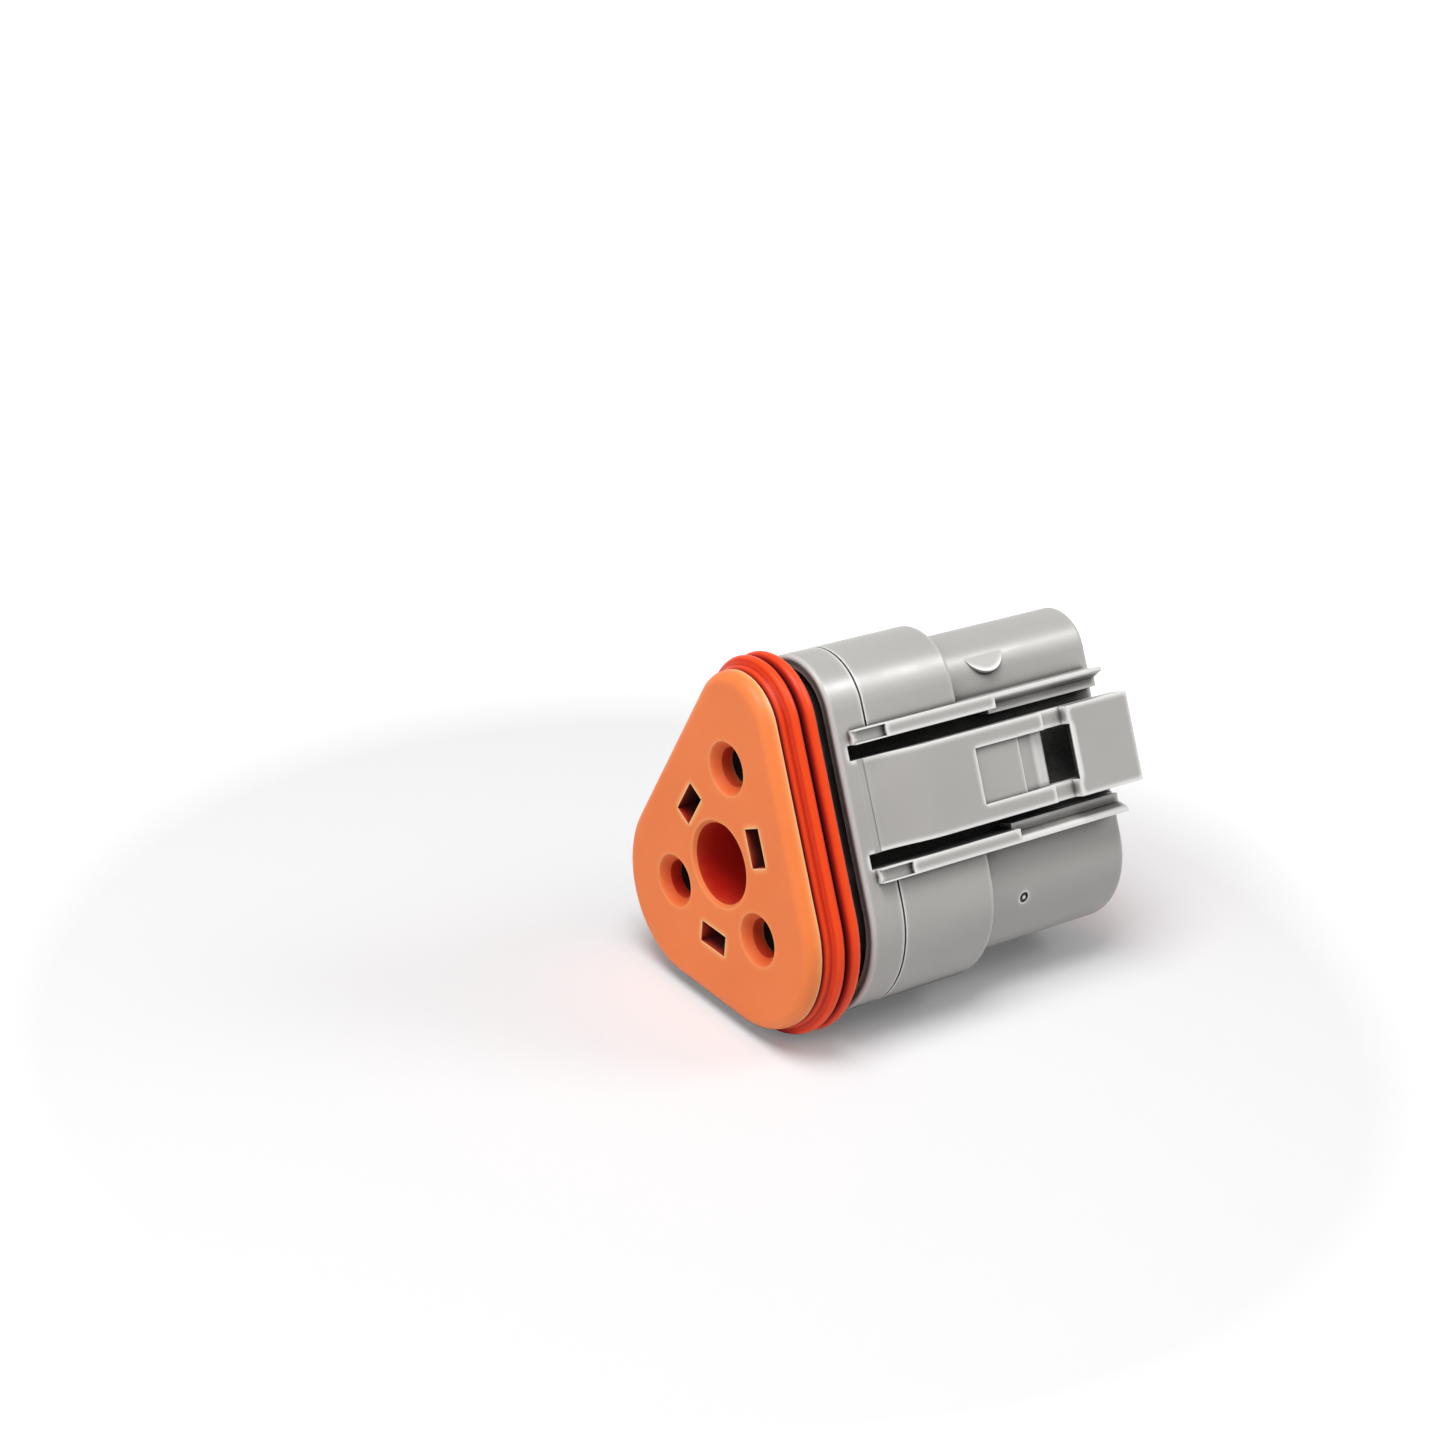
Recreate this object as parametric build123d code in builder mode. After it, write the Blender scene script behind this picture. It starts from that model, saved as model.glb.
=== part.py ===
from build123d import *
import math
import os

# Sealed three-way plug, in millimetres. The origin is the centre of the mating face.
# The connector's axis runs along Y, with the mating face towards -Y, and one flat side is underneath.

# Outline across the axis: three corner circles, joined by their tangents
apex_height = 10.65         # axis to the centre of the top corner
apex_round = 4.55
base_reach = 3.9            # axis to the centres of the lower corners, sideways
base_drop = 3.85            # axis to the centres of the lower corners, downwards
base_round = 7.5

# Stations along the axis, measured back from the mating face
flange_front = 5.7
parting_line = 8.6
shell_back = 17.3
body_length = 31.5

# Contacts
contact_below_apex = 2.9    # single contact, below the centre of the top corner
contact_past_base = 1.25    # pair of contacts, outside the centres of the lower corners
contact_over_base = 0.05    # and above them

# Walls and steps
rear_step = 1.22            # shell to rear section
rear_wall = 1.35
nose_step = 1.6             # shell to the nose that carries the seal
flange_edge_round = 0.3
shell_edge_round = 0.35
rear_edge_round = 0.5
line_width = 0.18           # parting line
line_depth = 0.12
trench_inset = 0.85         # ring-shaped relief in the flange's front face
trench_depth = 1.4

# Front plate of the wedge lock
plate_edge = 1.15           # thickness where it covers the seal
plate_middle = 1.7          # thickness over the nose
plate_inset = 0.15          # plate's outline inside the shell's
plate_edge_round = 0.85
pin_radius = 1.5            # clear hole for a mating pin
lead_in_radius = 2.05
lead_in_depth = 0.7
window_rise = 3.15          # axis to the middles of the two upper rectangular openings
window_reach = 4.05
window_drop = 6.2           # axis to the middle of the lower one
window_across = 2.9
window_deep = 1.65
window_pocket = 3.0         # depth of the nose's pocket behind an opening

# Centre post of the wedge lock
recess_radius = 3.1
recess_depth = 8.2
recess_edge = 0.25
post_wall = 0.85
post_end = 1.2
wing_reach = 5.5
wing_width = 1.6
wing_back = 8.4

# Clearances
seat_gap = 0.05             # faces that rest on each other
slide_gap = 0.15            # wedge lock in the nose
hinge_gap = 0.06            # round end of the latch in its seat
stack_gap = 0.03            # seal between plate and nose
cavity_gap = 0.2            # contact in its cavity
crimp_gap = 0.7             # end of a contact to the wire grommet

# Seal
seal_back = 4.62
seal_base = 0.95            # silicone under the ribs
rib_height = 1.25
front_rib = 2.05            # middle of the front rib
front_rib_width = 1.3
front_rib_round = 0.56
rear_rib = 3.84             # middle of the rear rib
rear_rib_width = 1.44
rear_rib_round = 0.62
rear_rib_extra = 0.08       # the rear rib stands this much prouder

# Wire grommet and its pocket
grommet_length = 8.0
grommet_setback = 0.8
grommet_fit = 0.1
grommet_ribs = 3
grommet_rib_width = 1.0
grommet_groove = 0.35
wire_radius = 1.2
lip_outer = 2.35
lip_inner = 1.75
lip_height = 0.45
vent_radius = 1.6
vent_depth = 2.5

# Socket contact, with its stations measured back from the mating face
contact_front = 3.1
socket_radius = 1.25
socket_bore = 0.82
socket_depth = 7.0
collar_front = 10.2
collar_width = 1.2
collar_radius = 1.85
neck_radius = 1.0
neck_length = 3.2
crimp_radius = 1.35
crimp_bore = 0.95
crimp_depth = 5.5
sight_hole = 0.35
mouth_chamfer = 0.2
sleeve_wall = 0.2
sleeve_length = 6.2

# Latch channel and guard rails on the right-hand flank
channel_front = 6.65
channel_depth = 1.7         # below the shell's flank
latch_offset = 0.15         # middle of the latch, from the middle of the flank towards the top corner
rail_gap_face = 4.55        # middle of the latch to the inner face of a rail
rail_width = 1.05
rail_height = 0.8           # above the shell's flank
rail_front = 6.95
nose_rail_back = 9.8        # end of the front stretch, which has a trough in its top
mid_rail_back = 20.1        # end of the wide middle stretch
rail_back = 30.8
trough_depth = 0.35
trough_wall = 0.1
tail_rail_top = 0.3         # flat left on top of the thin stretch
tail_slope_width = 0.5      # from there down to the ledge
tail_ledge_reach = 0.4      # ledge towards the latch, past the rail's inner face
tail_ledge_drop = 1.0       # ledge below the rail's top

# Latch arm
arm_width = 6.86
arm_thick = 1.1
arm_rise = 1.2              # arm's outer face above the shell's flank
tongue_back = 7.75          # fixed stub that the arm grows from
arm_level_at = 12.9         # from here on the arm runs parallel to the axis
recess_front = 17.1
recess_width = 4.2
recess_sink = 0.3
catch_front = 21.4          # window for the mating hook: a small step, then a ramp down into it
catch_step = 0.12
catch_ramp = 2.9
catch_lean = 4              # degrees, slope at the top of the ramp
catch_undercut = 1.15       # rear wall leans back under the pad
notch_length = 2.0          # lowered strips beside the window
notch_sink = 0.35
pad_front = 25.85
pad_back = 32.0
pad_rise = 0.6
pad_edge_round = 0.2

# Moulding marks on the rear section
ejector_station = 21.6
ejector_angle = 55          # round the top corner, above the horizontal
ejector_radius = 1.83
ejector_sink = 0.02         # flat's middle below the corner's crest
gate_station = 21.2
gate_angle = 3              # round the lower right corner, above the horizontal
gate_radius = 0.42
gate_sink = 0.2
gate_stub_radius = 0.15

# Worked out from the sizes above
corner_rise = apex_height + base_drop
flank_tilt = math.atan2(base_reach, corner_rise) + math.asin(
    (base_round - apex_round) / math.hypot(base_reach, corner_rise))
flank_normal = Vector(math.cos(flank_tilt), 0, math.sin(flank_tilt))
flank_across = Vector(-math.sin(flank_tilt), 0, math.cos(flank_tilt))
apex_tangent = Vector(0, 0, apex_height) + flank_normal * apex_round
base_tangent = Vector(base_reach, 0, -base_drop) + flank_normal * base_round
flank_middle = (apex_tangent + base_tangent) * 0.5 + flank_across * latch_offset
nose_front = plate_edge + seat_gap
shelf_front = plate_middle + seat_gap
post_radius = recess_radius + post_wall
post_back = recess_depth + post_end
contact_reach = base_reach + contact_past_base
contact_drop = base_drop - contact_over_base
contact_places = {
    "top": (0, apex_height - contact_below_apex),
    "left": (-contact_reach, -contact_drop),
    "right": (contact_reach, -contact_drop),
}
cavity_radius = collar_radius + cavity_gap
front_cavity_radius = socket_radius + sleeve_wall + cavity_gap
pocket_front = body_length - grommet_setback - grommet_length
pocket_inset = rear_step + rear_wall
crimp_back = pocket_front - crimp_gap
window_turn = math.degrees(flank_tilt)
wing_turn = math.degrees(math.atan2(window_rise, window_reach))
rail_middle = rail_gap_face + rail_width / 2
ramp_top = arm_rise - recess_sink - catch_step
ramp_start = (math.cos(math.radians(catch_lean)), -math.sin(math.radians(catch_lean)))
root_radius = arm_thick / 2
hinge_station = tongue_back + math.sqrt(root_radius ** 2 - (root_radius - line_depth) ** 2)
lead_in_angle = 2 * math.degrees(math.atan2(lead_in_radius - pin_radius, lead_in_depth))
through_all = 2 * body_length


def station(y):
    """Plane across the axis at y, extruded towards the wires. Its x runs to -X, its y up."""
    return Plane(origin=(0, y, 0), x_dir=(-1, 0, 0), z_dir=(0, 1, 0))


def flank_station(y):
    """Plane across the axis at y. Its x runs up the flank, towards the top corner, its y out of it."""
    origin = flank_middle + Vector(0, y, 0)
    return Plane(origin=origin, x_dir=flank_across, z_dir=(0, 1, 0))


# Side view of the latch: x back along the axis, y out of the shell's flank
latch_side = Plane(origin=flank_middle, x_dir=(0, 1, 0), z_dir=flank_across * -1)


def body_outline(inset):
    """Rounded triangle of the body, moved inwards by inset."""
    with BuildSketch() as outline:
        with Locations((0, apex_height)):
            Circle(apex_round - inset)
        with Locations((-base_reach, -base_drop), (base_reach, -base_drop)):
            Circle(base_round - inset)
        make_hull()
    return outline.sketch


def contact_circles(radius):
    """A circle of that radius at each contact."""
    with BuildSketch() as circles:
        with Locations(*contact_places.values()):
            Circle(radius)
    return circles.sketch


def window_outlines():
    """The plate's rectangular openings, each parallel to its side of the body."""
    with BuildSketch() as openings:
        for side in (-1, 1):
            with Locations(Location((side * window_reach, window_rise, 0), (0, 0, side * window_turn))):
                Rectangle(window_deep, window_across)
        with Locations((0, -window_drop)):
            Rectangle(window_across, window_deep)
    return openings.sketch


def wing_outlines(clearance):
    """The post's wings, which point at the openings, grown by clearance."""
    with BuildSketch() as wings:
        for turn in (wing_turn, 180 - wing_turn, -90):
            with Locations(Location((0, 0, 0), (0, 0, turn))):
                Rectangle(
                    wing_reach + clearance, wing_width + 2 * clearance, align=(Align.MIN, Align.CENTER))
    return wings.sketch


shell_outline = body_outline(0)
rear_outline = body_outline(rear_step)
nose_outline = body_outline(nose_step)
parting_outline = body_outline(line_depth)
trench_outline = body_outline(trench_inset)
pocket_outline = body_outline(pocket_inset)
shelf_outline = body_outline(nose_step + rear_wall)

# Housing: one moulding with nose, flange, shell, rear section, channel and guard rails
with BuildPart() as housing:
    with BuildSketch(station(flange_front)):
        add(shell_outline)
    extrude(amount=shell_back - flange_front)
    shell_rims = housing.edges().group_by(Axis.Y)
    fillet(shell_rims[0], flange_edge_round)
    fillet(shell_rims[-1], shell_edge_round)
    with BuildSketch(station(shell_back - shell_edge_round)):
        add(rear_outline)
    extrude(amount=body_length - shell_back + shell_edge_round)
    fillet(housing.edges().group_by(Axis.Y)[-1], rear_edge_round)
    # Parting line round the flange
    with BuildSketch(station(parting_line)):
        add(shell_outline)
        offset(amount=rear_wall)
        add(parting_outline, mode=Mode.SUBTRACT)
    extrude(amount=line_width, mode=Mode.SUBTRACT)
    # Relief in the flange's front face, round the foot of the nose
    with BuildSketch(station(flange_front)):
        add(trench_outline)
        add(nose_outline, mode=Mode.SUBTRACT)
    extrude(amount=trench_depth, mode=Mode.SUBTRACT)
    # Nose that carries the seal, with a shelf for the thick middle of the plate
    with BuildSketch(station(nose_front)):
        add(nose_outline)
    extrude(amount=flange_front + trench_depth - nose_front)
    with BuildSketch(station(nose_front)):
        add(shelf_outline)
    extrude(amount=shelf_front - nose_front, mode=Mode.SUBTRACT)
    # Pocket for the wire grommet
    with BuildSketch(station(pocket_front)):
        add(pocket_outline)
    extrude(amount=through_all, mode=Mode.SUBTRACT)
    # Contact cavities: narrow in front of the collar, wide behind it
    with BuildSketch(station(shelf_front)):
        add(contact_circles(front_cavity_radius))
    extrude(amount=collar_front - shelf_front, mode=Mode.SUBTRACT)
    with BuildSketch(station(collar_front)):
        add(contact_circles(cavity_radius))
    extrude(amount=pocket_front - collar_front, mode=Mode.SUBTRACT)
    # Centre bore for the post, with slots for its wings
    with BuildSketch(station(shelf_front)):
        Circle(post_radius + slide_gap)
    extrude(amount=post_back + slide_gap - shelf_front, mode=Mode.SUBTRACT)
    with BuildSketch(station(shelf_front)):
        add(wing_outlines(slide_gap))
    extrude(amount=wing_back + slide_gap - shelf_front, mode=Mode.SUBTRACT)
    # Pockets behind the plate's rectangular openings
    with BuildSketch(station(shelf_front)):
        add(window_outlines())
    extrude(amount=window_pocket, mode=Mode.SUBTRACT)
    # Guard rails, in three stretches: nose with a trough, wide middle, thin tail with a ledge
    with BuildSketch(flank_station(rail_front)):
        with GridLocations(2 * rail_middle, 0, 2, 1):
            with Locations((0, rail_height)):
                Rectangle(rail_width, rail_height + channel_depth, align=(Align.CENTER, Align.MAX))
    extrude(amount=mid_rail_back - rail_front)
    with BuildSketch(flank_station(rail_front)):
        with GridLocations(2 * rail_middle, 0, 2, 1):
            with Locations((0, rail_height)):
                Rectangle(rail_width - 2 * trough_wall, trough_depth, align=(Align.CENTER, Align.MAX))
    extrude(amount=nose_rail_back - rail_front, mode=Mode.SUBTRACT)
    with BuildSketch(flank_station(mid_rail_back)):
        with BuildLine():
            Polyline(
                (rail_gap_face + rail_width, -channel_depth),
                (rail_gap_face + rail_width, rail_height),
                (rail_gap_face + rail_width - tail_rail_top, rail_height),
                (rail_gap_face + rail_width - tail_rail_top - tail_slope_width, rail_height - tail_ledge_drop),
                (rail_gap_face - tail_ledge_reach, rail_height - tail_ledge_drop),
                (rail_gap_face - tail_ledge_reach, -channel_depth),
                close=True,
            )
        make_face()
        mirror(about=Plane.YZ)
    extrude(amount=rail_back - mid_rail_back)
    # Channel under the latch, open at the back
    with BuildSketch(flank_station(channel_front)):
        with Locations((0, -channel_depth)):
            Rectangle(2 * (rail_gap_face - tail_ledge_reach), through_all, align=(Align.CENTER, Align.MIN))
    extrude(amount=through_all, mode=Mode.SUBTRACT)
    with BuildSketch(flank_station(channel_front)):
        with Locations((0, -channel_depth)):
            Rectangle(2 * rail_gap_face, through_all, align=(Align.CENTER, Align.MIN))
    extrude(amount=mid_rail_back - channel_front, mode=Mode.SUBTRACT)
    # Fixed stub in the channel, with a round seat for the end of the latch
    with BuildSketch(flank_station(channel_front)):
        Rectangle(arm_width, channel_depth, align=(Align.CENTER, Align.MAX))
    extrude(amount=tongue_back - channel_front)
    with BuildSketch(latch_side):
        with Locations((hinge_station, -root_radius)):
            Circle(root_radius + hinge_gap)
    extrude(amount=rail_gap_face, both=True, mode=Mode.SUBTRACT)
    # Half-round flat over an ejector pin on the top corner, and the gate's mark on the lower right one
    ejector_out = Vector(math.cos(math.radians(ejector_angle)), 0, math.sin(math.radians(ejector_angle)))
    ejector_reach = apex_round - rear_step - ejector_sink
    ejector_place = Vector(0, ejector_station, apex_height) + ejector_out * ejector_reach
    with BuildSketch(Plane(origin=ejector_place, x_dir=(0, 1, 0), z_dir=ejector_out)):
        Circle(ejector_radius)
        Rectangle(2 * ejector_radius, ejector_radius, align=(Align.CENTER, Align.MAX), mode=Mode.INTERSECT)
    extrude(amount=-rear_step)
    gate_out = Vector(math.cos(math.radians(gate_angle)), 0, math.sin(math.radians(gate_angle)))
    gate_reach = base_round - rear_step - gate_sink
    gate_place = Vector(base_reach, gate_station, -base_drop) + gate_out * gate_reach
    with BuildSketch(Plane(origin=gate_place, x_dir=(0, 1, 0), z_dir=gate_out)):
        Circle(gate_radius)
        Circle(gate_stub_radius, mode=Mode.SUBTRACT)
    extrude(amount=rear_step, mode=Mode.SUBTRACT)
housing.part.label = "housing"

# Latch arm: a springy tongue that rises from its root, with a recess, a hook window and a thumb pad
with BuildPart() as latch_arm:
    with BuildSketch(latch_side):
        with BuildLine():
            top_rise = Spline(
                (hinge_station, 0), (arm_level_at, arm_rise), tangents=[(1, 0), (1, 0)])
            top_flat = Line(top_rise @ 1, (pad_front, arm_rise))
            pad_step = Line(top_flat @ 1, (pad_front, arm_rise + pad_rise))
            pad_top = Line(pad_step @ 1, (pad_back, arm_rise + pad_rise))
            pad_end = Line(pad_top @ 1, (pad_back, arm_rise - arm_thick))
            under_flat = Line(pad_end @ 1, (arm_level_at, arm_rise - arm_thick))
            under_rise = Spline(
                under_flat @ 1, (hinge_station, -arm_thick), tangents=[(-1, 0), (-1, 0)])
            ThreePointArc(under_rise @ 1, (hinge_station - root_radius, -root_radius), (hinge_station, 0))
        make_face()
    extrude(amount=arm_width / 2, both=True)
    fillet(latch_arm.edges().filter_by(GeomType.LINE).group_by(Axis.Y)[-1], pad_edge_round)
    # Square recess, then the window: a ramp that rolls down into it, and a rear wall under the pad
    with BuildSketch(latch_side):
        with BuildLine():
            recess_floor = Line((recess_front, arm_rise - recess_sink), (catch_front, arm_rise - recess_sink))
            Line(recess_floor @ 1, (catch_front, ramp_top))
            ramp = TangentArc(
                (catch_front, ramp_top), (catch_front + catch_ramp, arm_rise - arm_thick), tangent=ramp_start)
            Polyline(
                ramp @ 1,
                (pad_front + catch_undercut, arm_rise - arm_thick),
                (pad_front, arm_rise + pad_rise),
                (recess_front, arm_rise + pad_rise),
                recess_floor @ 0,
            )
        make_face()
    extrude(amount=recess_width / 2, both=True, mode=Mode.SUBTRACT)
    # Lowered strips on both sides of the window, just before the pad
    with BuildSketch(latch_side):
        with Locations((pad_front, arm_rise - notch_sink)):
            Rectangle(notch_length, pad_rise, align=(Align.MAX, Align.MIN))
    extrude(amount=arm_width / 2, both=True, mode=Mode.SUBTRACT)
latch_arm.part.label = "latch_arm"

# Wedge lock: front plate and hollow post in one moulding, which holds the contacts
with BuildPart() as wedge_lock:
    with BuildSketch(station(0)):
        add(body_outline(plate_inset))
    extrude(amount=plate_edge)
    fillet(wedge_lock.edges().group_by(Axis.Y)[0], plate_edge_round)
    with BuildSketch(station(plate_edge)):
        add(body_outline(nose_step + rear_wall + slide_gap))
    extrude(amount=plate_middle - plate_edge)
    with BuildSketch(station(plate_middle)):
        Circle(post_radius)
    extrude(amount=post_back - plate_middle)
    with BuildSketch(station(plate_middle)):
        add(wing_outlines(0))
    extrude(amount=wing_back - plate_middle)
    # Blind centre recess with a broken edge
    with BuildSketch(station(0)):
        Circle(recess_radius)
    extrude(amount=recess_depth, mode=Mode.SUBTRACT)
    recess_mouth = wedge_lock.edges().filter_by(lambda edge: edge.is_closed).group_by(Axis.Y)[0]
    chamfer(recess_mouth, recess_edge)
    # Pin openings with dished mouths
    with Locations(Plane.XZ):
        with Locations(*contact_places.values()):
            CounterSinkHole(pin_radius, lead_in_radius, counter_sink_angle=lead_in_angle)
    # Rectangular openings, midway between the pins
    with BuildSketch(station(0)):
        add(window_outlines())
    extrude(amount=plate_middle, mode=Mode.SUBTRACT)
wedge_lock.part.label = "wedge_lock"

# Interface seal: silicone ring round the nose, trapped between the plate and the flange
with BuildPart() as interface_seal:
    with BuildSketch(station(plate_edge + stack_gap)):
        add(body_outline(nose_step - seal_base))
    extrude(amount=seal_back - plate_edge - stack_gap)
    for rib_place, rib_width, rib_round, extra in (
        (front_rib, front_rib_width, front_rib_round, 0),
        (rear_rib, rear_rib_width, rear_rib_round, rear_rib_extra),
    ):
        with BuildSketch(station(rib_place - rib_width / 2)):
            add(body_outline(nose_step - seal_base - rib_height - extra))
        extrude(amount=rib_width)
        rib_sides = interface_seal.faces(Select.LAST).sort_by(SortBy.AREA)[-2:]
        fillet([edge for side in rib_sides for edge in side.outer_wire().edges()], rib_round)
    with BuildSketch(station(plate_edge)):
        add(nose_outline)
    extrude(amount=through_all, mode=Mode.SUBTRACT)
interface_seal.part.label = "interface_seal"

# Wire grommet: ribbed silicone block in the rear pocket, with a lip round each wire hole
with BuildPart() as wire_grommet:
    with BuildSketch(station(pocket_front)):
        add(body_outline(pocket_inset + grommet_fit))
    extrude(amount=grommet_length)
    groove_pitch = grommet_length / grommet_ribs
    for groove in range(grommet_ribs - 1):
        groove_front = pocket_front + groove_pitch * (groove + 1) - grommet_rib_width / 2
        with BuildSketch(station(groove_front)):
            add(body_outline(pocket_inset))
            add(body_outline(pocket_inset + grommet_fit + grommet_groove), mode=Mode.SUBTRACT)
        extrude(amount=grommet_rib_width, mode=Mode.SUBTRACT)
    with BuildSketch(station(pocket_front + grommet_length)):
        add(contact_circles(lip_outer))
        add(contact_circles(lip_inner), mode=Mode.SUBTRACT)
    extrude(amount=lip_height)
    with BuildSketch(station(pocket_front)):
        add(contact_circles(wire_radius))
    extrude(amount=through_all, mode=Mode.SUBTRACT)
    with BuildSketch(station(pocket_front + grommet_length - vent_depth)):
        Circle(vent_radius)
    extrude(amount=vent_depth, mode=Mode.SUBTRACT)
wire_grommet.part.label = "wire_grommet"

os.makedirs("parts", exist_ok=True)
export_step(housing.part, "parts/housing.step")
export_step(latch_arm.part, "parts/latch_arm.step")
export_step(wedge_lock.part, "parts/wedge_lock.step")
export_step(interface_seal.part, "parts/interface_seal.step")
export_step(wire_grommet.part, "parts/wire_grommet.step")

# Contacts and sleeves: turned parts, one set in each cavity
for contact_name, (contact_x, contact_z) in contact_places.items():
    contact_axis = Axis((contact_x, 0, contact_z), (0, 1, 0))
    turning_plane = Plane(origin=contact_axis.position, x_dir=(1, 0, 0), z_dir=(0, 0, 1))
    with BuildPart() as contact:
        with BuildSketch(turning_plane):
            with BuildLine():
                Polyline(
                    (0, contact_front + socket_depth),
                    (socket_bore, contact_front + socket_depth),
                    (socket_bore, contact_front + mouth_chamfer),
                    (socket_bore + mouth_chamfer, contact_front),
                    (socket_radius, contact_front),
                    (socket_radius, collar_front),
                    (collar_radius, collar_front),
                    (collar_radius, collar_front + collar_width),
                    (neck_radius, collar_front + collar_width),
                    (neck_radius, collar_front + collar_width + neck_length),
                    (crimp_radius, collar_front + collar_width + neck_length + crimp_radius - neck_radius),
                    (crimp_radius, crimp_back),
                    (crimp_bore, crimp_back),
                    (crimp_bore, crimp_back - crimp_depth),
                    (0, crimp_back - crimp_depth),
                    close=True,
                )
            make_face()
        revolve(axis=contact_axis)
        sight_place = contact_axis.position + Vector(0, crimp_back - crimp_depth + 2 * sight_hole, 0)
        with BuildSketch(Plane(origin=sight_place, x_dir=(1, 0, 0), z_dir=(0, 0, 1))):
            Circle(sight_hole)
        extrude(amount=cavity_radius, mode=Mode.SUBTRACT)
    contact.part.label = "socket_contact_" + contact_name
    export_step(contact.part, "parts/" + contact.part.label + ".step")

    with BuildPart() as sleeve:
        with BuildSketch(turning_plane):
            with Locations((socket_radius, contact_front)):
                Rectangle(sleeve_wall, sleeve_length, align=(Align.MIN, Align.MIN))
        revolve(axis=contact_axis)
    sleeve.part.label = "contact_sleeve_" + contact_name
    export_step(sleeve.part, "parts/" + sleeve.part.label + ".step")
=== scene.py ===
import math

import bmesh
import bpy
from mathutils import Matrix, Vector


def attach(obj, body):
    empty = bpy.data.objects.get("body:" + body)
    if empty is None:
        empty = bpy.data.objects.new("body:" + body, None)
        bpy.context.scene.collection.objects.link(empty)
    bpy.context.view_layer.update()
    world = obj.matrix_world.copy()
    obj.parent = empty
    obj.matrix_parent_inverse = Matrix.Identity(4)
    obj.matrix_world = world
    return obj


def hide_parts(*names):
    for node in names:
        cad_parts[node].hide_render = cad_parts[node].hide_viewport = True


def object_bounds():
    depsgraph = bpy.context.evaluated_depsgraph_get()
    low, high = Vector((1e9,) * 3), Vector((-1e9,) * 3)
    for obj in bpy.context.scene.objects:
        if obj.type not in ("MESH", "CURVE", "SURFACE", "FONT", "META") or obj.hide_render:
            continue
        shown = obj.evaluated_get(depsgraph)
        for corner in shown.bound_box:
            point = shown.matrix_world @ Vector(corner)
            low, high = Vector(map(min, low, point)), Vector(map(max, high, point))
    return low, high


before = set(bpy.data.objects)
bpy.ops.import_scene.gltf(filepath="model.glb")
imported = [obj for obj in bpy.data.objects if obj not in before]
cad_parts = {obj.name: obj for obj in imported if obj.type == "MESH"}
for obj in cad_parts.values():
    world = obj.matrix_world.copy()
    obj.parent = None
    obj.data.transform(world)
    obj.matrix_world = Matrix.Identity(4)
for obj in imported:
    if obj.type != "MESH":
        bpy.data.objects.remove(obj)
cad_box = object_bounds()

# Camera: stands ahead of the mating face, out on the latch's side and above the plug,
# where the photograph was taken from, with the same slight roll.
camera_place = (0.15535, -0.12221, 0.10455)
camera_turn = (64.752, -3.852, 53.826)
camera_lens = 76.66
camera_sensor = 36
nearest_seen = 0.01
camera_data = bpy.data.cameras.new("view_camera")
camera_data.lens = camera_lens
camera_data.sensor_width = camera_sensor
camera_data.clip_start = nearest_seen
camera = bpy.data.objects.new("view_camera", camera_data)
camera.location = camera_place
camera.rotation_euler = [math.radians(angle) for angle in camera_turn]
bpy.context.scene.collection.objects.link(camera)
bpy.context.scene.camera = camera
bpy.context.scene.view_settings.view_transform = "Standard"

# Studio: a white table that runs out of sight, lit by a pale room and four soft boxes, the last
# of which shows only in the plug's gloss. The table keeps the plug's shadow, and looks white
# to the camera where nothing shades it.
table_reach = 1.5
table_paint = (0.70, 0.70, 0.71, 1)
glow_near = (0.05, 0.12)     # distance from the plug in metres, glow there
glow_far = (0.10, 1.0)
room_white = (1, 1, 1, 1)
room_light = 0.20
room_seen = 1                # strength that the camera and gloss see
soft_boxes = [
    # name, place, reach of the box, power, whether it lights the table and the matt of the plug
    ("top_box", (0.04, -0.09, 0.36), 0.20, 1.22, True),
    ("front_box", (0.05, -0.32, 0.18), 0.20, 0.34, True),
    ("side_box", (0.18, 0.30, 0.26), 0.16, 0.46, True),
    ("ridge_box", (0.125, 0.20, 0.27), 0.06, 0.60, False),
]


def seen_directly(nodes, links):
    """1 for rays that come straight from the camera, or by way of gloss or glass."""
    path = nodes.new("ShaderNodeLightPath")
    glossy = nodes.new("ShaderNodeMath")
    glossy.operation = "MAXIMUM"
    links.new(path.outputs["Is Camera Ray"], glossy.inputs[0])
    links.new(path.outputs["Is Glossy Ray"], glossy.inputs[1])
    clear = nodes.new("ShaderNodeMath")
    clear.operation = "MAXIMUM"
    links.new(glossy.outputs[0], clear.inputs[0])
    links.new(path.outputs["Is Transmission Ray"], clear.inputs[1])
    return clear.outputs[0]


table_white = bpy.data.materials.new("table_white")
table_white.use_nodes = True
nodes, links = table_white.node_tree.nodes, table_white.node_tree.links
nodes.clear()
paint = nodes.new("ShaderNodeBsdfDiffuse")
paint.inputs["Color"].default_value = table_paint
glow = nodes.new("ShaderNodeEmission")
links.new(seen_directly(nodes, links), glow.inputs["Strength"])
spot = nodes.new("ShaderNodeTexCoord")
away = nodes.new("ShaderNodeVectorMath")
away.operation = "LENGTH"
links.new(spot.outputs["Object"], away.inputs[0])
fade = nodes.new("ShaderNodeMapRange")
fade.inputs["From Min"].default_value, fade.inputs["To Min"].default_value = glow_near
fade.inputs["From Max"].default_value, fade.inputs["To Max"].default_value = glow_far
links.new(away.outputs["Value"], fade.inputs["Value"])
links.new(fade.outputs["Result"], glow.inputs["Color"])
both = nodes.new("ShaderNodeAddShader")
links.new(paint.outputs[0], both.inputs[0])
links.new(glow.outputs[0], both.inputs[1])
surface = nodes.new("ShaderNodeOutputMaterial")
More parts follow.
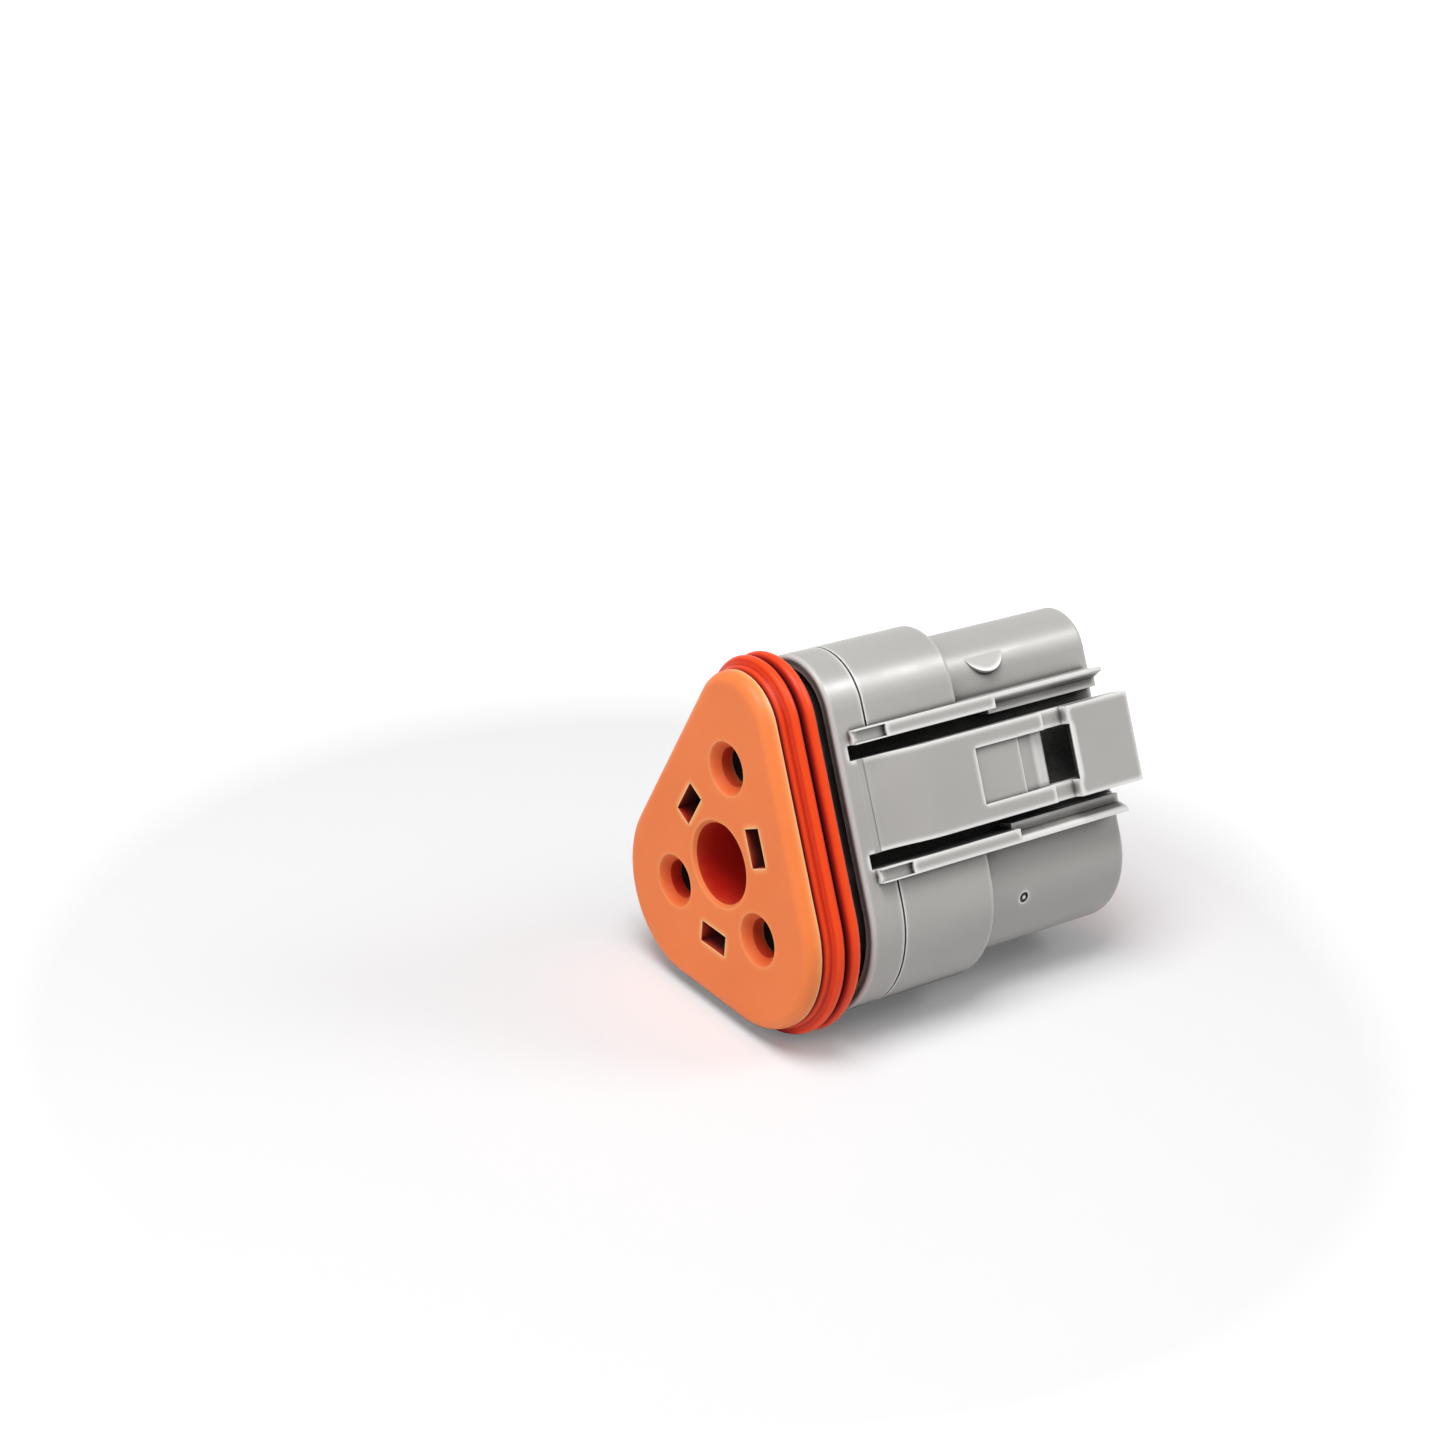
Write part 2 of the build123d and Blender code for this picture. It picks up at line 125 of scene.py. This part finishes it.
links.new(both.outputs[0], surface.inputs["Surface"])

shape = bmesh.new()
bmesh.ops.create_grid(shape, x_segments=1, y_segments=1, size=table_reach)
bmesh.ops.translate(shape, vec=(0, 0, cad_box[0][2]), verts=shape.verts)
table_mesh = bpy.data.meshes.new("table")
shape.to_mesh(table_mesh)
shape.free()
table_mesh.materials.append(table_white)
table = bpy.data.objects.new("table", table_mesh)
bpy.context.scene.collection.objects.link(table)

room = bpy.data.worlds.new("room")
room.use_nodes = True
bpy.context.scene.world = room
nodes, links = room.node_tree.nodes, room.node_tree.links
backdrop = nodes["Background"]
backdrop.inputs["Color"].default_value = room_white
level = nodes.new("ShaderNodeMapRange")
level.inputs["To Min"].default_value = room_light
level.inputs["To Max"].default_value = room_seen
links.new(seen_directly(nodes, links), level.inputs["Value"])
links.new(level.outputs[0], backdrop.inputs["Strength"])

for box_name, box_place, box_reach, box_power, box_lights in soft_boxes:
    lamp_data = bpy.data.lights.new(box_name, "AREA")
    lamp_data.size = box_reach
    lamp_data.energy = box_power
    lamp = bpy.data.objects.new(box_name, lamp_data)
    lamp.location = box_place
    lamp.rotation_euler = (-Vector(box_place)).to_track_quat("-Z", "Y").to_euler()
    lamp.visible_camera = False
    lamp.visible_diffuse = box_lights
    bpy.context.scene.collection.objects.link(lamp)


# Housing: glass-filled nylon, moulded in one piece in warm grey, with the fine
# satin grain that a spark-eroded mould leaves and faint flow marks along the walls.
# Its edges carry a painted pale highlight, and its gaps, creases and seams are painted dark as shade.
nylon_light = (0.43, 0.418, 0.40, 1)
nylon_dark = (0.375, 0.363, 0.345, 1)
# The pale colour is a painted highlight for the edges, the near black a painted shade for the gaps.
nylon_edge_highlight = (0.84, 0.83, 0.81, 1)
nylon_gap_shade = (0.002, 0.0015, 0.001, 1)
nylon_roughness = (0.30, 0.40)
gap_roughness = (1, 1, 1, 1)
nylon_gloss = 0.45
satin_size = 0.0015
grain_size = 0.00012
grain_depth = 0.000004
fine_detail = 2.0
flow_size = 0.006
flow_detail = 4.0
flow_stretch = (1, 0.4, 1)
blotch_rate = 0.5            # noise scale times the size of a blotch
cover_samples = 8
edge_samples = 4
edge_softness = 0.00012
# Painted shades and highlights: how far other surfaces are looked for in metres,
# the openness at which the mark is full and at which it ends, and how strong it is
gap_reach, gap_span = 0.005, (0.36, 0.68)
depth_span = (0.22, 0.36)
rim_reach, rim_span, rim_strength = 0.0005, (0.68, 0.92), 0.8
edge_reach, edge_span, edge_strength = 0.00025, (0.5, 0.9), 0.9
seam_reach, seam_span, seam_strength = 0.0006, (0.35, 0.85), 0.9


def new_finish(finish_name):
    """An empty material with one Principled shader: returns it, its tree and the shader."""
    finish = bpy.data.materials.new(finish_name)
    finish.use_nodes = True
    return finish, finish.node_tree, finish.node_tree.nodes["Principled BSDF"]


def mottle(tree, size, detail=3.0, stretch=(1, 1, 1)):
    """Noise whose blotches are about size metres across, in the piece's own coordinates."""
    place = tree.nodes.new("ShaderNodeTexCoord")
    turned = tree.nodes.new("ShaderNodeMapping")
    turned.inputs["Scale"].default_value = stretch
    noise = tree.nodes.new("ShaderNodeTexNoise")
    noise.inputs["Scale"].default_value = blotch_rate / size
    noise.inputs["Detail"].default_value = detail
    tree.links.new(place.outputs["Object"], turned.inputs["Vector"])
    tree.links.new(turned.outputs["Vector"], noise.inputs["Vector"])
    return noise.outputs["Fac"]


def between(tree, amount, low, high, start=0.3, end=0.7):
    """A value that runs from low to high as amount runs from start to end."""
    spread = tree.nodes.new("ShaderNodeMapRange")
    spread.inputs["From Min"].default_value = start
    spread.inputs["From Max"].default_value = end
    spread.inputs["To Min"].default_value = low
    spread.inputs["To Max"].default_value = high
    tree.links.new(amount, spread.inputs["Value"])
    return spread.outputs["Result"]


def blended(tree, amount, first, second):
    """A colour between first and second, which are colours or other nodes' outputs."""
    mix = tree.nodes.new("ShaderNodeMix")
    mix.data_type = "RGBA"
    tree.links.new(amount, mix.inputs["Factor"])
    for side, colour in (("A", first), ("B", second)):
        socket = next(socket for socket in mix.inputs if socket.name == side and socket.type == "RGBA")
        if isinstance(colour, tuple):
            socket.default_value = colour
        else:
            tree.links.new(colour, socket)
    return next(socket for socket in mix.outputs if socket.type == "RGBA")


def openness(tree, reach, inside=False, alone=False):
    """1 in the open, towards 0 where surfaces stand within reach: in gaps, or inside next to an edge.

    With alone, only the piece's own surfaces count.
    """
    cover = tree.nodes.new("ShaderNodeAmbientOcclusion")
    cover.samples = cover_samples
    cover.inside = inside
    cover.only_local = inside or alone
    cover.inputs["Distance"].default_value = reach
    return cover.outputs["AO"]


def raised(tree, shader, height, depth, edge=edge_softness):
    """Bump of the given depth in metres, over edges softened by the radius edge."""
    soft = tree.nodes.new("ShaderNodeBevel")
    soft.samples = edge_samples
    soft.inputs["Radius"].default_value = edge
    bump = tree.nodes.new("ShaderNodeBump")
    bump.inputs["Strength"].default_value = 1.0
    bump.inputs["Distance"].default_value = depth
    tree.links.new(height, bump.inputs["Height"])
    tree.links.new(soft.outputs["Normal"], bump.inputs["Normal"])
    tree.links.new(bump.outputs["Normal"], shader.inputs["Normal"])


up_flank = (-0.4444, 0, 0.8958)
lip_middle = (0.00233, 0.0034)    # middle of the stub up the flank, half its width
lip_station = (0.0075, 0.0003)    # middle of the lip along the axis, half its depth


def seat_lip(tree):
    """1 on the thin lip that covers the latch's seat, where the wall ends and the painted edge highlight is
    left off.
    """
    place = tree.nodes.new("ShaderNodeTexCoord")
    height = tree.nodes.new("ShaderNodeVectorMath")
    height.operation = "DOT_PRODUCT"
    height.inputs[1].default_value = up_flank
    tree.links.new(place.outputs["Object"], height.inputs[0])
    station = tree.nodes.new("ShaderNodeSeparateXYZ")
    tree.links.new(place.outputs["Object"], station.inputs["Vector"])
    both = tree.nodes.new("ShaderNodeMath")
    both.operation = "MULTIPLY"
    measures = ((height.outputs["Value"], lip_middle), (station.outputs["Y"], lip_station))
    for number, (measure, (middle, reach)) in enumerate(measures):
        near = tree.nodes.new("ShaderNodeMath")
        near.operation = "COMPARE"
        near.inputs[1].default_value = middle
        near.inputs[2].default_value = reach
        tree.links.new(measure, near.inputs[0])
        tree.links.new(near.outputs["Value"], both.inputs[number])
    return both.outputs["Value"]


def grey_nylon():
    """Warm grey nylon with flow marks along the axis, painted pale highlights on its edges, painted shade
    in its gaps and creases, and a fine satin grain.
    """
    finish, tree, shader = new_finish("grey_nylon")
    flow = between(tree, mottle(tree, flow_size, flow_detail, flow_stretch), 0, 1)
    plain = blended(tree, flow, nylon_dark, nylon_light)
    # Painted shade: near black in gaps, and fully so in the deepest ones, where little light reaches.
    cover = openness(tree, gap_reach)
    gap_shade = between(tree, cover, 1, 0, *gap_span)
    shaded = blended(tree, gap_shade, plain, nylon_gap_shade)
    # Painted highlight: pale colour along convex rims and edges, where light catches them.
    rim_highlight = between(tree, openness(tree, rim_reach, inside=True), rim_strength, 0, *rim_span)
    edges = between(tree, openness(tree, edge_reach, inside=True), edge_strength, 0, *edge_span)
    edged = blended(tree, edges, blended(tree, rim_highlight, shaded, nylon_edge_highlight), nylon_edge_highlight)
    # Painted shade: dark lines in tight creases, seams and inner corners.
    seam_shade = between(tree, openness(tree, seam_reach), seam_strength, 0, *seam_span)
    seamed = blended(tree, seam_shade, blended(tree, seat_lip(tree), edged, shaded), nylon_gap_shade)
    depth_shade = between(tree, cover, 1, 0, *depth_span)
    tree.links.new(blended(tree, depth_shade, seamed, nylon_gap_shade), shader.inputs["Base Color"])
    satin = between(tree, mottle(tree, satin_size), *nylon_roughness)
    tree.links.new(blended(tree, gap_shade, satin, gap_roughness), shader.inputs["Roughness"])
    shader.inputs["Specular IOR Level"].default_value = nylon_gloss
    raised(tree, shader, mottle(tree, grain_size, fine_detail), grain_depth)
    return finish


def dress(node_name, finish):
    """Puts one finish on a whole node."""
    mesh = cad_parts[node_name].data
    mesh.materials.clear()
    mesh.materials.append(finish)


housing_finish = grey_nylon()
dress("housing", housing_finish)

# Latch arm: part of the same moulding as the housing, so it has the same finish.
# It bends at its root when the thumb pad is pressed.
dress("latch_arm", housing_finish)

# Socket contacts and sleeves: turned copper alloy under nickel, with steel sleeves
# sprung over their fronts. The lathe leaves fine rings across the axis.
nickel = (0.70, 0.66, 0.58, 1)
steel = (0.62, 0.62, 0.63, 1)
# Painted shade colour for the metal deep in the holes.
metal_gap_shade = (0.004, 0.004, 0.005, 1)
nickel_roughness = 0.28
steel_roughness = 0.34
roughness_spread = 0.06
tarnish = 0.8                # darkest patches, as a share of the full colour
tarnish_size = 0.002
ring_width = 0.0002
ring_stretch = (0.02, 1, 0.02)
ring_depth = 0.000004
ring_softness = 0.00005
metal_reach, metal_span = 0.005, (0.2, 0.9)
contact_places = ["top", "left", "right"]


def turned_metal(finish_name, colour, roughness):
    """Bright metal with faint turning rings, painted dark as shade where it sits deep in the holes."""
    finish, tree, shader = new_finish(finish_name)
    shader.inputs["Metallic"].default_value = 1.0
    shade = tuple(value * tarnish for value in colour[:3]) + (1,)
    bright = blended(tree, between(tree, mottle(tree, tarnish_size), 0, 1), shade, colour)
    # Painted shade: darker deep in the housing's holes, where little light reaches.
    depth_shade = between(tree, openness(tree, metal_reach), 1, 0, *metal_span)
    tree.links.new(blended(tree, depth_shade, bright, metal_gap_shade), shader.inputs["Base Color"])
    rings = mottle(tree, ring_width, fine_detail, ring_stretch)
    turned = between(tree, rings, roughness - roughness_spread, roughness + roughness_spread)
    tree.links.new(turned, shader.inputs["Roughness"])
    raised(tree, shader, rings, ring_depth, ring_softness)
    return finish


contact_finish = turned_metal("nickel_plate", nickel, nickel_roughness)
sleeve_finish = turned_metal("sleeve_steel", steel, steel_roughness)
for place_name in contact_places:
    dress("socket_contact_" + place_name, contact_finish)
    dress("contact_sleeve_" + place_name, sleeve_finish)

# Interface seal: one moulded ring of orange-red silicone, stretched round the nose.
# Two fat ribs with a deep groove between them bear on the mating shroud, and a
# sloping lip in front of them meets the back of the wedge lock's plate.
corners = [
    # centre (x, z), radius of the shell's corner, angle where its arc starts, arc
    ((0.0039, -0.00385), 0.0075, -90.0, 116.3847),
    ((0.0, 0.01065), 0.00455, 26.3847, 127.2306),
    ((-0.0039, -0.00385), 0.0075, 153.6153, 116.3847),
]
nose_step = 0.0016
seal_profile = [
    # out from the nose, station along the axis
    (0.0, 0.00120), (0.00095, 0.00121), (0.00112, 0.00128), (0.00148, 0.00146),
    (0.00164, 0.00168), (0.00160, 0.00190),
    (0.00213, 0.00201), (0.00228, 0.00236), (0.00213, 0.00271), (0.00178, 0.00286),
    (0.00095, 0.00288), (0.00095, 0.00306), (0.00174, 0.00308),
    (0.00215, 0.00326), (0.00232, 0.00368), (0.00215, 0.00410), (0.00174, 0.00428),
    (0.00100, 0.00434), (0.00090, 0.00456), (0.0, 0.00458),
]
bead_foot = 0.0017           # the profile is rounded above this height
bead_softness = 0.00016
bead_segments = 4
corner_steps = 24
merge_distance = 0.000002
flat_facing = 0.999          # faces that look this straight along the axis stay flat
silicone_light = (0.56, 0.014, 0.0015, 1)
silicone_dark = (0.47, 0.009, 0.001, 1)
# The crest colour is painted light, the gap colour painted shade.
silicone_crest_light = (0.87, 0.065, 0.007, 1)
silicone_groove_shade = (0.03, 0.0004, 0.0002, 1)
silicone_roughness = (0.34, 0.46)
silicone_gloss = 0.2
patch_size = 0.004
wax_size = 0.0015
pore_size = 0.0002
pore_depth = 0.000005
crest_reach, crest_span = 0.0016, (0.78, 1.0)
groove_reach, groove_span = 0.0012, (0.25, 0.8)


def red_silicone():
    """Orange-red silicone with a waxy skin, with painted light along its crests and painted shade down in
    its grooves.
    """
    finish, tree, shader = new_finish("red_silicone")
    patches = between(tree, mottle(tree, patch_size), 0, 1)
    skin = blended(tree, patches, silicone_dark, silicone_light)
    # Painted light: lighter where the crests stand open.
    crest_light = between(tree, openness(tree, crest_reach), 0, 1, *crest_span)
    crested = blended(tree, crest_light, skin, silicone_crest_light)
    # Painted shade: dark red down in the grooves.
    gap_shade = between(tree, openness(tree, groove_reach), 1, 0, *groove_span)
    tree.links.new(blended(tree, gap_shade, crested, silicone_groove_shade), shader.inputs["Base Color"])
    waxy = between(tree, mottle(tree, wax_size), *silicone_roughness)
    tree.links.new(blended(tree, gap_shade, waxy, gap_roughness), shader.inputs["Roughness"])
    shader.inputs["Specular IOR Level"].default_value = silicone_gloss
    raised(tree, shader, mottle(tree, pore_size), pore_depth)
    return finish


def profile_face(shape, points, corner, inset):
    """A flat face with the given outline, standing at the start of a corner's arc, inset from the shell."""
    (centre_x, centre_z), radius, start, _ = corner
    out = Vector((math.cos(math.radians(start)), 0, math.sin(math.radians(start))))
    centre = Vector((centre_x, 0, centre_z))
    ring = [shape.verts.new(centre + out * (radius - inset + rise) + Vector((0, place, 0)))
            for rise, place in points]
    return shape.faces.new(ring)


def carry_round(shape, edges, steps):
    """Carries a loop of edges once round the body: an arc at each corner, a straight run to the next."""
    for number, ((centre_x, centre_z), radius, start, arc) in enumerate(corners):
        swept = bmesh.ops.spin(
            shape, geom=edges, cent=(centre_x, 0, centre_z), axis=(0, -1, 0),
            angle=math.radians(arc), steps=steps, use_merge=False, use_duplicate=False)
        edges = [item for item in swept["geom_last"] if isinstance(item, bmesh.types.BMEdge)]
        (next_x, next_z), next_radius, next_start, _ = corners[(number + 1) % len(corners)]
        out = Vector((math.cos(math.radians(next_start)), 0, math.sin(math.radians(next_start))))
        along = Vector((next_x - centre_x, 0, next_z - centre_z)) + out * (next_radius - radius)
        run = bmesh.ops.extrude_edge_only(shape, edges=edges)["geom"]
        moved = [item for item in run if isinstance(item, bmesh.types.BMVert)]
        bmesh.ops.translate(shape, vec=along, verts=moved)
        edges = [item for item in run if isinstance(item, bmesh.types.BMEdge) and len(item.link_faces) == 1]
    bmesh.ops.remove_doubles(shape, verts=shape.verts, dist=merge_distance)
    bmesh.ops.recalc_face_normals(shape, faces=shape.faces)


def finished(shape, piece_name, finish, body, node_name):
    """Makes the shape a piece in its finish, which rides on a body and stands for a node.

    Its faces are smooth, but for flat ends across the axis.
    """
    for face in shape.faces:
        face.smooth = abs(face.normal.y) < flat_facing
    mesh = bpy.data.meshes.new(piece_name)
    shape.to_mesh(mesh)
    shape.free()
    mesh.materials.append(finish)
    piece = bpy.data.objects.new(piece_name, mesh)
    bpy.context.scene.collection.objects.link(piece)
    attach(piece, body)
    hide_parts(node_name)


silicone_finish = red_silicone()
shape = bmesh.new()
face = profile_face(shape, seal_profile, corners[0], nose_step)
foot_level = corners[0][0][1] - (corners[0][1] - nose_step + bead_foot)
rounded = [vert for vert in face.verts if vert.co.z < foot_level]
bmesh.ops.bevel(
    shape, geom=rounded, offset=bead_softness, offset_type="OFFSET", segments=bead_segments, profile=0.5,
    affect="VERTICES", material=-1, clamp_overlap=True)
edges = list(shape.edges)
bmesh.ops.delete(shape, geom=list(shape.faces), context="FACES_ONLY")
carry_round(shape, edges, corner_steps)
finished(shape, "ribbed_seal", silicone_finish, "housing", "interface_seal")

# Wire grommet: a block of the same silicone, pressed into the back of the housing.
# Three ribs grip the pocket, a raised lip stands round each wire's hole, and rings
# inside the holes grip the wires. The middle has a blind vent.
wire_places = [(0.0, 0.00775), (-0.00515, -0.0038), (0.00515, -0.0038)]
grommet_inset = 0.00267
grommet_front = 0.0227
grommet_back = 0.0307
grommet_skin = [
    # out from the pocket's fit, station from the grommet's front
    (-0.00025, 0.0), (-0.00004, 0.00008), (0.0, 0.0004), (0.0, 0.0020), (-0.0003, 0.0024),
    (-0.0003, 0.0029), (0.0, 0.0033), (0.0, 0.0047), (-0.0003, 0.0051), (-0.0003, 0.0056),
    (0.0, 0.0060), (0.0, 0.0076), (-0.00004, 0.00792), (-0.00025, 0.0080),
]
wire_hole = [
    # out from the hole's axis, station from the grommet's front
    (0.00130, 0.0), (0.00120, 0.0002), (0.00120, 0.0016), (0.00138, 0.0021), (0.00138, 0.0026),
    (0.00120, 0.0031), (0.00120, 0.0041), (0.00138, 0.0046), (0.00138, 0.0051), (0.00120, 0.0056),
    (0.00120, 0.0074), (0.00128, 0.00785), (0.00145, 0.0080), (0.00170, 0.0080), (0.00176, 0.00806),
    (0.00180, 0.00832), (0.00190, 0.00843), (0.00205, 0.00845), (0.00220, 0.00843),
    (0.00231, 0.00832), (0.00235, 0.00806), (0.00241, 0.0080),
]
vent_hole = [
    (0.0, 0.0055), (0.00145, 0.0055), (0.00158, 0.0056), (0.00160, 0.0059), (0.00160, 0.0078),
    (0.00172, 0.0080),
]
hole_segments = 40
level_slack = 0.00001


def lathed(shape, profile, middle_x, middle_z, start, segments):
    """Turns a profile of (radius, station) once round an axis along the connector."""
    turned = [shape.verts.new((middle_x + radius, start + place, middle_z)) for radius, place in profile]
    lines = [shape.edges.new(pair) for pair in zip(turned, turned[1:])]
    bmesh.ops.spin(
        shape, geom=turned + lines, cent=(middle_x, 0, middle_z), axis=(0, 1, 0), angle=math.tau,
        steps=segments, use_merge=True, use_duplicate=False)


shape = bmesh.new()
(centre_x, centre_z), radius, _, _ = corners[0]
drop = centre_z - radius + grommet_inset
rim = [shape.verts.new((centre_x, grommet_front + place, drop - rise)) for rise, place in grommet_skin]
carry_round(shape, [shape.edges.new(pair) for pair in zip(rim, rim[1:])], corner_steps)
for middle_x, middle_z in wire_places:
    lathed(shape, wire_hole, middle_x, middle_z, grommet_front, hole_segments)
lathed(shape, vent_hole, 0.0, 0.0, grommet_front, hole_segments)
bmesh.ops.remove_doubles(shape, verts=shape.verts, dist=merge_distance)
for level, facing in ((grommet_front, -1), (grommet_back, 1)):
    brink = [edge for edge in shape.edges if edge.is_boundary
             and all(abs(vert.co.y - level) < level_slack for vert in edge.verts)]
    bmesh.ops.triangle_fill(shape, edges=brink, use_beauty=True, use_dissolve=False, normal=(0, facing, 0))
bmesh.ops.recalc_face_normals(shape, faces=shape.faces)
finished(shape, "wire_seal_block", silicone_finish, "housing", "wire_grommet")

# Wedge lock: orange nylon, one moulding, pushed home last from the front to lock the
# contacts. Its rounded rim carries a painted pale highlight, and its holes are painted dark red as shade.
orange_light = (0.91, 0.215, 0.048, 1)
orange_dark = (0.85, 0.190, 0.040, 1)
# The edge and rim colours are painted highlights, the gap and depth colours painted shade.
orange_edge_highlight = (0.97, 0.47, 0.15, 1)
orange_rim_highlight = (1.0, 0.72, 0.40, 1)
orange_hole_shade = (0.52, 0.008, 0.001, 1)
orange_depth_shade = (0.06, 0.0015, 0.0006, 1)
orange_roughness = (0.42, 0.52)
orange_gloss = 0.35
orange_patch_size = 0.005
orange_patch_detail = 4.0
pale_reach, pale_span, pale_strength = 0.0006, (0.55, 0.95), 0.7
brink_reach, brink_span, brink_strength = 0.0002, (0.5, 0.9), 0.9
hole_reach, hole_span = 0.008, (0.5, 0.95)
shadow_reach, shadow_span = 0.0025, (0.38, 0.62)


def orange_nylon():
    """Orange nylon, satin on the face, with painted highlights on its rims and painted shade in its holes
    and tight gaps.
    """
    finish, tree, shader = new_finish("orange_nylon")
    patches = between(tree, mottle(tree, orange_patch_size, orange_patch_detail), 0, 1)
    plain = blended(tree, patches, orange_dark, orange_light)
    # Painted highlight: paler along the rounded rim and brighter on its brink.
    rim_highlight = between(tree, openness(tree, pale_reach, inside=True), pale_strength, 0, *pale_span)
    edges = between(tree, openness(tree, brink_reach, inside=True), brink_strength, 0, *brink_span)
    edged = blended(tree, edges, blended(tree, rim_highlight, plain, orange_edge_highlight), orange_rim_highlight)
    # Painted shade: dark red deep in the holes and windows.
    gap_shade = between(tree, openness(tree, hole_reach, alone=True), 1, 0, *hole_span)
    gapped = blended(tree, gap_shade, edged, orange_hole_shade)
    # Painted shade: near black in tight gaps next to other parts.
    depth_shade = between(tree, openness(tree, shadow_reach), 1, 0, *shadow_span)
    tree.links.new(blended(tree, depth_shade, gapped, orange_depth_shade), shader.inputs["Base Color"])
    satin = between(tree, mottle(tree, satin_size), *orange_roughness)
    tree.links.new(blended(tree, gap_shade, satin, gap_roughness), shader.inputs["Roughness"])
    shader.inputs["Specular IOR Level"].default_value = orange_gloss
    raised(tree, shader, mottle(tree, grain_size, fine_detail), grain_depth)
    return finish


dress("wedge_lock", orange_nylon())
